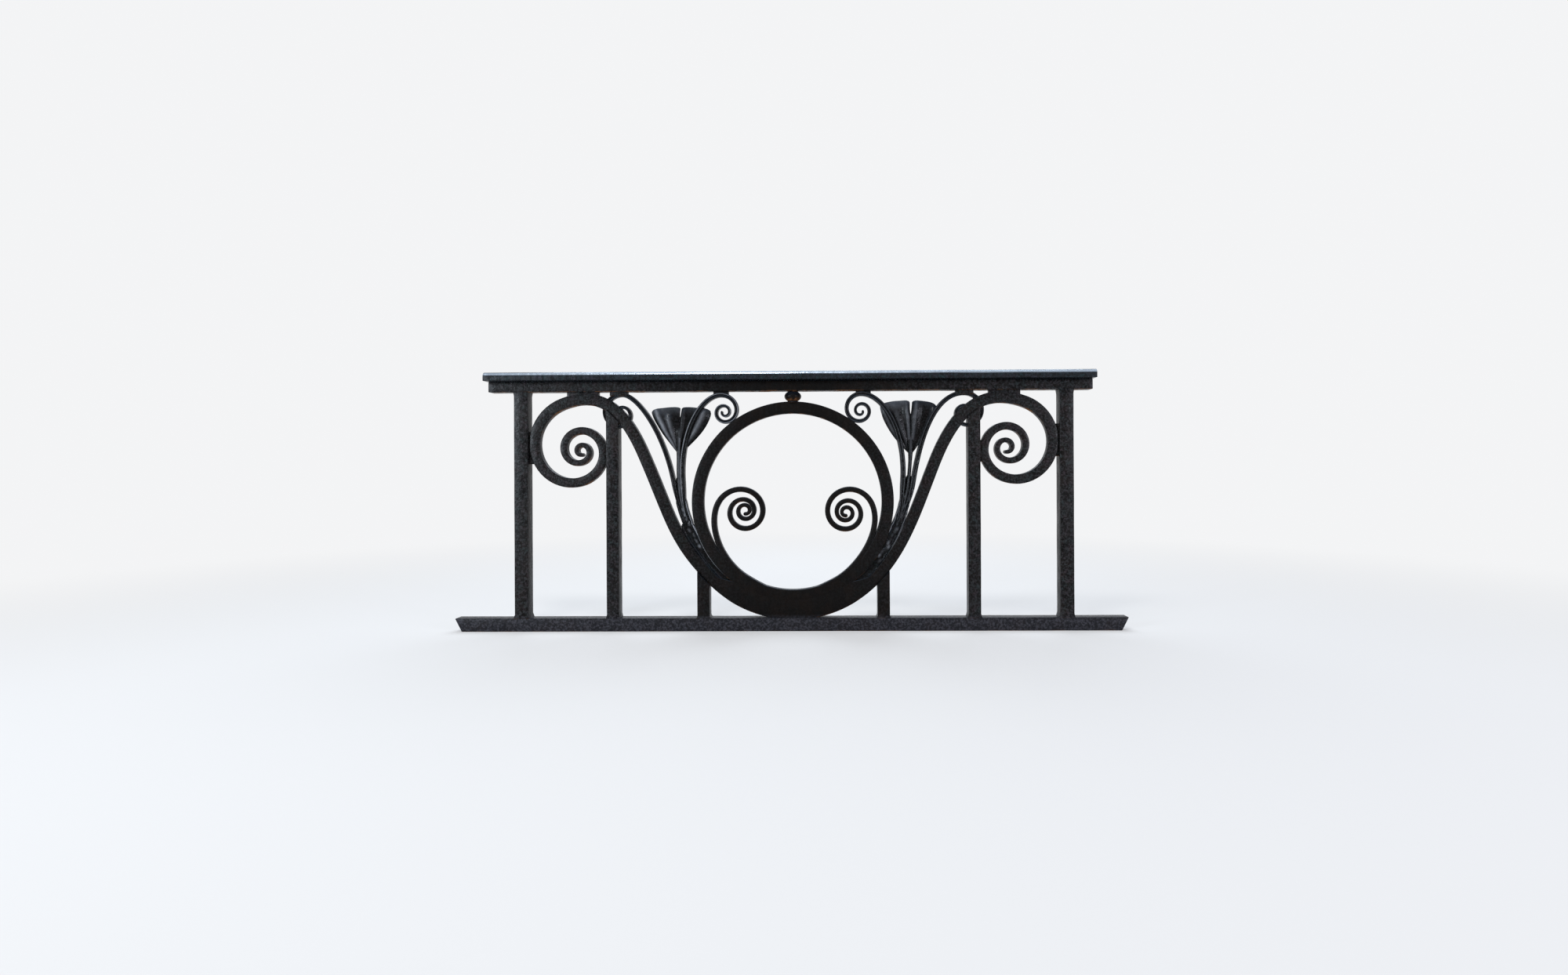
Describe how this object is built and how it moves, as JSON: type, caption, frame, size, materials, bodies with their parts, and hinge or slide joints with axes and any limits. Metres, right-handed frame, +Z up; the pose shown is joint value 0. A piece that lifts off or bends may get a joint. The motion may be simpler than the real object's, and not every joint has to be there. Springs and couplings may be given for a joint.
{
  "type": "iron balcony railing",
  "caption": "Cast iron railing panel for a French window: handrail, posts, a centre ring, large S-scrolls, volutes, tendrils and open flowers.",
  "frame": {"origin": "on the handrail's left end face, at the middle of that face", "axes": "+X along the rail from its left wall end, +Y from the seen face to the back, +Z up"},
  "size_m": [0.9865, 0.058, 0.3796],
  "materials": {
    "panel_iron": "weathered black gloss paint over a rough sand-cast skin",
    "flower_iron": "black gloss paint over fluted petals and ribbed stalks",
    "handrail_iron": "black gloss paint, smoother and more worn on its upper edges, with small pale flecks"
  },
  "bodies": {
    "root": {"handrail": "handrail_iron", "top_bar": "panel_iron", "bottom_rail": "panel_iron", "left_end_post": "panel_iron", "right_end_post": "panel_iron", "left_middle_post": "panel_iron", "right_middle_post": "panel_iron", "left_short_post": "panel_iron", "right_short_post": "panel_iron", "centre_ring": "panel_iron", "ring_boss": "panel_iron", "left_big_scroll": "panel_iron", "right_big_scroll": "panel_iron", "left_ring_volute": "panel_iron", "right_ring_volute": "panel_iron", "left_flower": "flower_iron", "right_flower": "flower_iron", "left_flower_stalk": "flower_iron", "right_flower_stalk": "flower_iron", "left_inner_tendril": "panel_iron", "right_inner_tendril": "panel_iron", "left_outer_tendril": "panel_iron", "right_outer_tendril": "panel_iron", "left_end_post_lug": "panel_iron", "right_end_post_lug": "panel_iron", "left_middle_post_lug": "panel_iron", "right_middle_post_lug": "panel_iron", "left_scroll_top_lug": "panel_iron", "right_scroll_top_lug": "panel_iron", "left_inner_tendril_lug": "panel_iron", "right_inner_tendril_lug": "panel_iron", "left_outer_tendril_lug": "panel_iron", "right_outer_tendril_lug": "panel_iron"}
  },
  "joints": []
}
